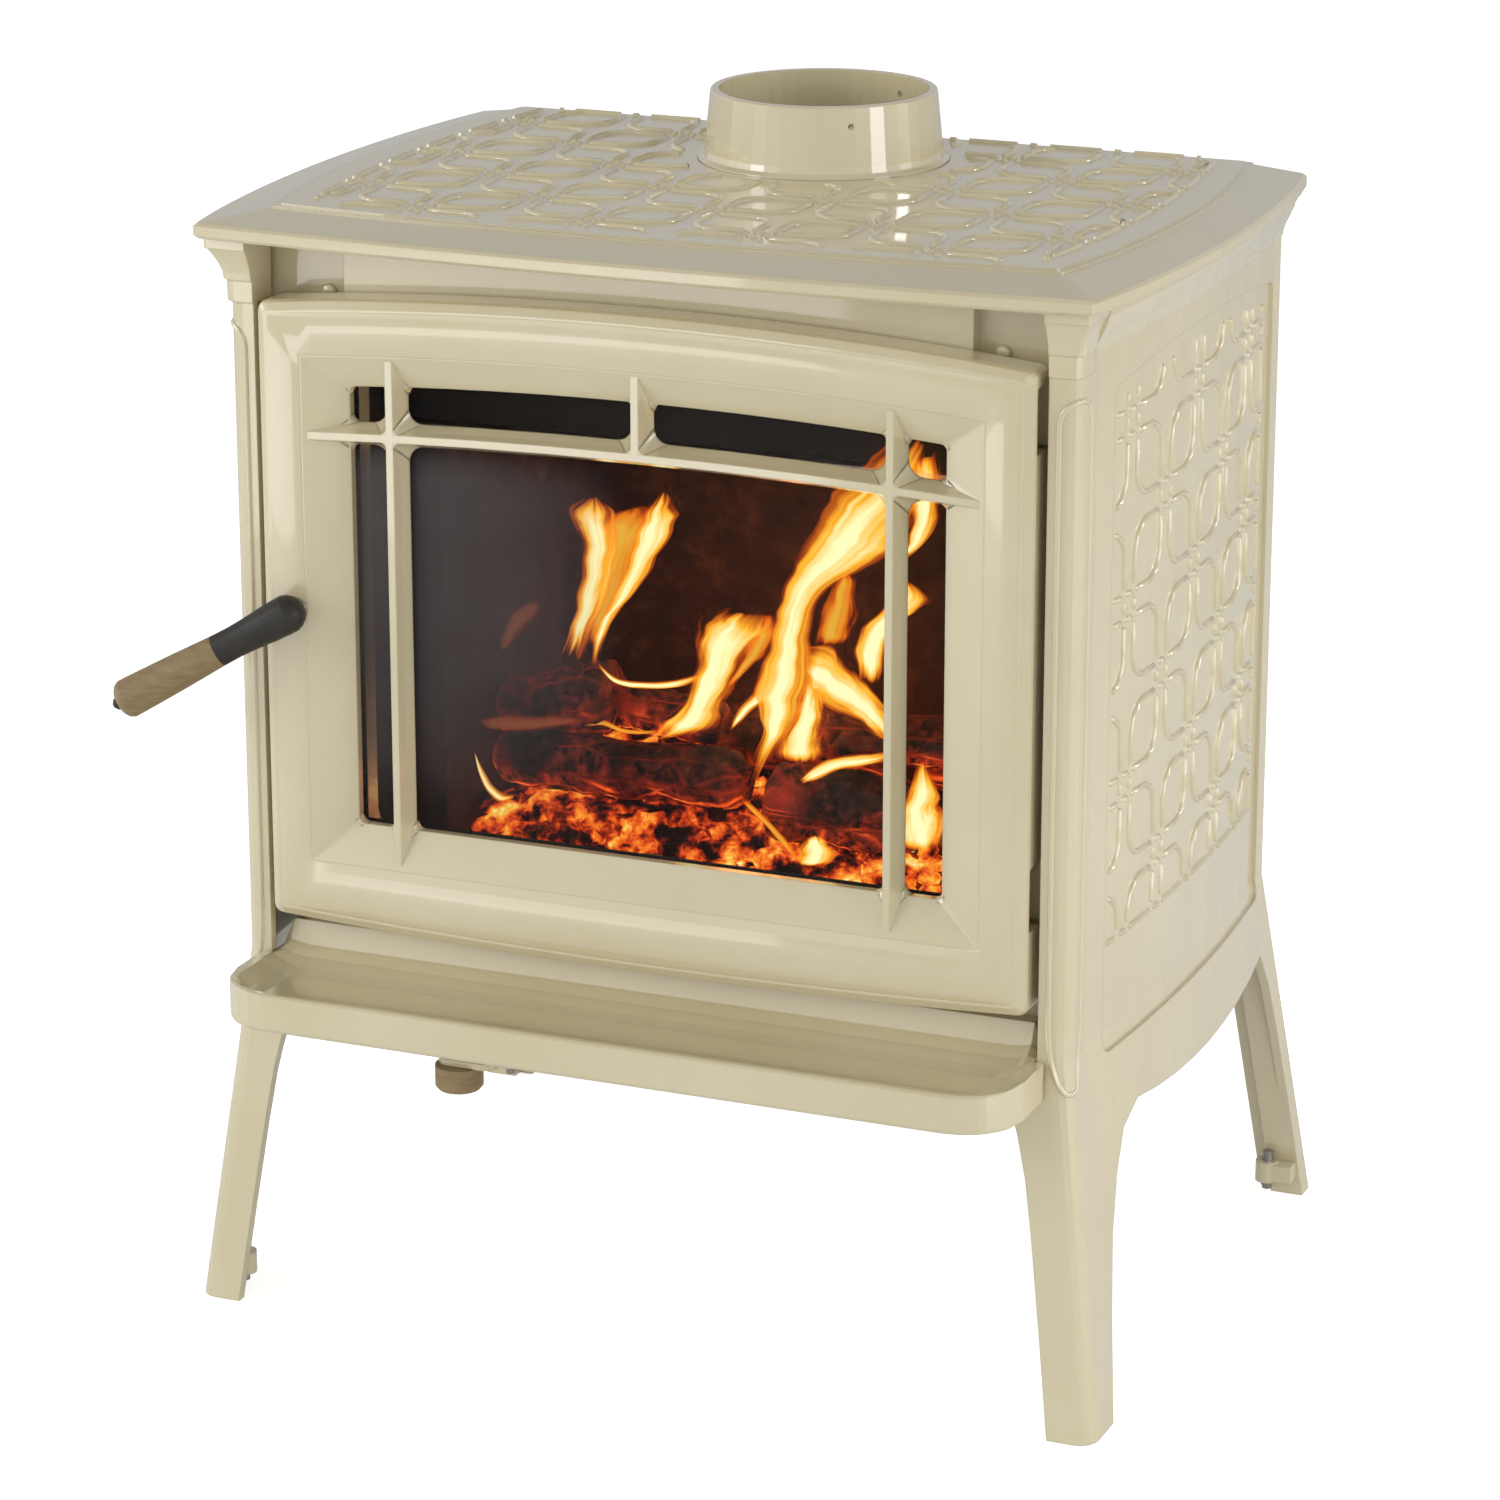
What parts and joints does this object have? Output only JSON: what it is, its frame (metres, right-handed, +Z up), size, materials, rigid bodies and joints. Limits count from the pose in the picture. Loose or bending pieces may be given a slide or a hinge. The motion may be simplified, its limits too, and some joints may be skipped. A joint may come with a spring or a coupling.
{
  "type": "wood stove",
  "caption": "Free-standing cast iron wood stove on splayed legs, with fretwork panels, a barred glass door that opens, a turning latch handle, an air knob and an ash lip.",
  "frame": {"origin": "centre of the whole object's box at floor level", "axes": "+Z up, -Y towards the front with the door, +X to the right as seen from the front"},
  "size_m": [0.6711, 0.528, 0.792],
  "materials": {
    "cream_enamel": "glossy cream vitreous enamel on cast iron",
    "ceramic_glass": "clear heat-proof glass",
    "bare_steel": "plain steel",
    "black_steel": "matt black heat-proof paint",
    "firebrick": "rough refractory",
    "insulating_board": "rough insulating board",
    "rope_gasket": "braided rope",
    "brown_grip": "satin brown"
  },
  "bodies": {
    "stove": {"air_pivot_bolt": "bare_steel", "ash_lip": "cream_enamel", "back_casting": "cream_enamel", "baffle_board": "insulating_board", "bottom_heat_shield": "black_steel", "firebox_shell": "black_steel", "floor_brick_left": "firebrick", "floor_brick_right": "firebrick", "flue_collar": "cream_enamel", "front_casting": "cream_enamel", "front_screw_left": "cream_enamel", "front_screw_right": "cream_enamel", "latch_catch": "bare_steel", "log_rest": "black_steel", "primary_air_box": "black_steel", "rear_brick_left": "firebrick", "rear_brick_right": "firebrick", "secondary_air_tube_front": "bare_steel", "secondary_air_tube_middle": "bare_steel", "secondary_air_tube_rear": "bare_steel", "side_brick_left": "firebrick", "side_brick_right": "firebrick", "side_casting_left": "cream_enamel", "side_casting_right": "cream_enamel", "top_plate": "cream_enamel"},
    "door": {"door_casting": "cream_enamel", "door_glass": "ceramic_glass", "glass_gasket": "rope_gasket", "glass_clip_bottom": "bare_steel", "glass_clip_left": "bare_steel", "glass_clip_right": "bare_steel", "glass_clip_top": "bare_steel", "door_rope_gasket": "rope_gasket", "hinge_pin_lower": "bare_steel", "hinge_pin_upper": "bare_steel"},
    "latch": {"latch_spindle": "bare_steel", "latch_cam": "bare_steel", "latch_cam_nut": "bare_steel", "handle_ferrule": "black_steel", "handle_grip": "brown_grip", "grip_bolt": "black_steel"},
    "air_control": {"air_gate": "bare_steel", "air_lever": "cream_enamel", "air_knob": "brown_grip"},
    "leveller_front_left": {"levelling_screw_front_left": "bare_steel"},
    "leveller_front_right": {"levelling_screw_front_right": "bare_steel"},
    "leveller_rear_left": {"levelling_screw_rear_left": "bare_steel"},
    "leveller_rear_right": {"levelling_screw_rear_right": "bare_steel"}
  },
  "joints": [
    {"name": "door_hinge", "type": "hinge", "parent": "stove", "child": "door", "pos_m": [0.2607, -0.1785, 0.504], "axis": [0, 0, 1], "range_deg": [0, 105]},
    {"name": "latch_turn", "type": "hinge", "parent": "door", "child": "latch", "pos_m": [-0.2271, -0.202, 0.4871], "axis": [0, -1, 0], "range_deg": [0, 60]},
    {"name": "air_slide_turn", "type": "hinge", "parent": "stove", "child": "air_control", "pos_m": [-0.0175, -0.052, 0.21], "axis": [0, 0, 1], "range_deg": [-8, 44]},
    {"name": "leveller_front_left_travel", "type": "slide", "parent": "stove", "child": "leveller_front_left", "axis": [0, 0, -1], "range_m": [0, 0.012]},
    {"name": "leveller_front_right_travel", "type": "slide", "parent": "stove", "child": "leveller_front_right", "axis": [0, 0, -1], "range_m": [0, 0.012]},
    {"name": "leveller_rear_left_travel", "type": "slide", "parent": "stove", "child": "leveller_rear_left", "axis": [0, 0, -1], "range_m": [0, 0.012]},
    {"name": "leveller_rear_right_travel", "type": "slide", "parent": "stove", "child": "leveller_rear_right", "axis": [0, 0, -1], "range_m": [0, 0.012]}
  ]
}
